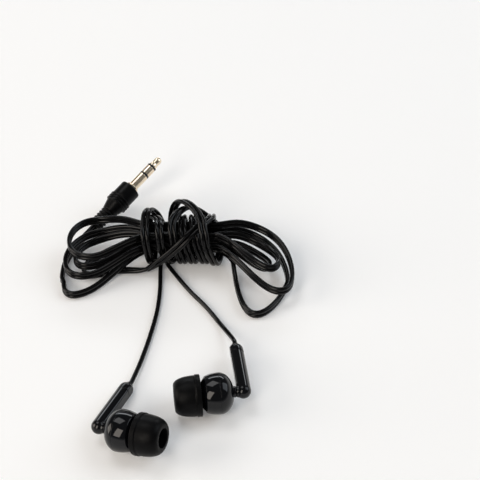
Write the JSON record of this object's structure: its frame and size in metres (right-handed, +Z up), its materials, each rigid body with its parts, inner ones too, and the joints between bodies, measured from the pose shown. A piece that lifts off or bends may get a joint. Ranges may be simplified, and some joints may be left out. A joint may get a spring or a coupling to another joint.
{
  "type": "wired in-ear earphones",
  "caption": "Wired in-ear earphones with removable soft ear tips, a flat twin cord wound into a hank and a 3.5 mm stereo plug.",
  "frame": {"origin": "middle of the two earpieces' footprint, on the surface that they lie on", "axes": "+Z up; +X to the right, along the longer side of the earpieces' footprint; +Y from the earpieces towards the wound cord and the plug"},
  "size_m": [0.0791, 0.1278, 0.0207],
  "materials": {
    "silicone": "satin soft silicone",
    "screen_mesh": "fine woven mesh",
    "shell": "polished blue-black",
    "driver_metal": "plated, satin",
    "film": "thin clear-amber film",
    "copper": "enamelled copper wire",
    "driver_frame": "moulded, matte",
    "magnet": "nickel-plated",
    "board": "fibre board",
    "gold": "gold-plated, polished",
    "insulator": "smooth",
    "boot": "matte with a soft sheen",
    "cord": "smooth, semi-gloss jacket"
  },
  "bodies": {
    "set": {"left_nozzle_screen": "screen_mesh", "left_front_housing": "shell", "left_driver_grille": "driver_metal", "left_driver_frame": "driver_frame", "left_yoke": "driver_metal", "left_magnet": "magnet", "left_pole_plate": "driver_metal", "left_terminal_board": "board", "left_rear_housing": "shell", "left_stem": "shell", "left_stem_cap": "shell", "left_cable_grommet": "cord", "left_cable_end": "cord", "left_driver_wires": "copper", "right_nozzle_screen": "screen_mesh", "right_front_housing": "shell", "right_driver_grille": "driver_metal", "right_driver_frame": "driver_frame", "right_yoke": "driver_metal", "right_magnet": "magnet", "right_pole_plate": "driver_metal", "right_terminal_board": "board", "right_rear_housing": "shell", "right_stem": "shell", "right_stem_cap": "shell", "right_cable_grommet": "cord", "right_cable_end": "cord", "right_driver_wires": "copper", "plug_tip": "gold", "plug_tip_insulator": "insulator", "plug_ring": "gold", "plug_ring_insulator": "insulator", "plug_sleeve": "gold", "plug_boot": "boot", "plug_cord_end": "cord", "plug_wires": "copper", "main_cord_tail": "cord", "main_cord_hank": "cord", "main_cord_bridge": "cord", "main_cord_wrap": "cord", "left_lead": "cord", "right_lead": "cord"},
    "left_tip": {"left_ear_tip": "silicone"},
    "right_tip": {"right_ear_tip": "silicone"},
    "left_moving_coil": {"left_diaphragm": "film", "left_voice_coil": "copper"},
    "right_moving_coil": {"right_diaphragm": "film", "right_voice_coil": "copper"}
  },
  "joints": [
    {"name": "left_tip_pull", "type": "slide", "parent": "set", "child": "left_tip", "axis": [0.9233, -0.3434, 0.1719], "range_m": [0, 0.008]},
    {"name": "right_tip_pull", "type": "slide", "parent": "set", "child": "right_tip", "axis": [-0.9917, -0.1288, 0], "range_m": [0, 0.008]},
    {"name": "left_diaphragm_travel", "type": "slide", "parent": "set", "child": "left_moving_coil", "axis": [0.9233, -0.3434, 0.1719], "range_m": [-0.00015, 0.00015], "stiffness_N_per_m": 300},
    {"name": "right_diaphragm_travel", "type": "slide", "parent": "set", "child": "right_moving_coil", "axis": [-0.9917, -0.1288, 0], "range_m": [-0.00015, 0.00015], "stiffness_N_per_m": 300}
  ]
}
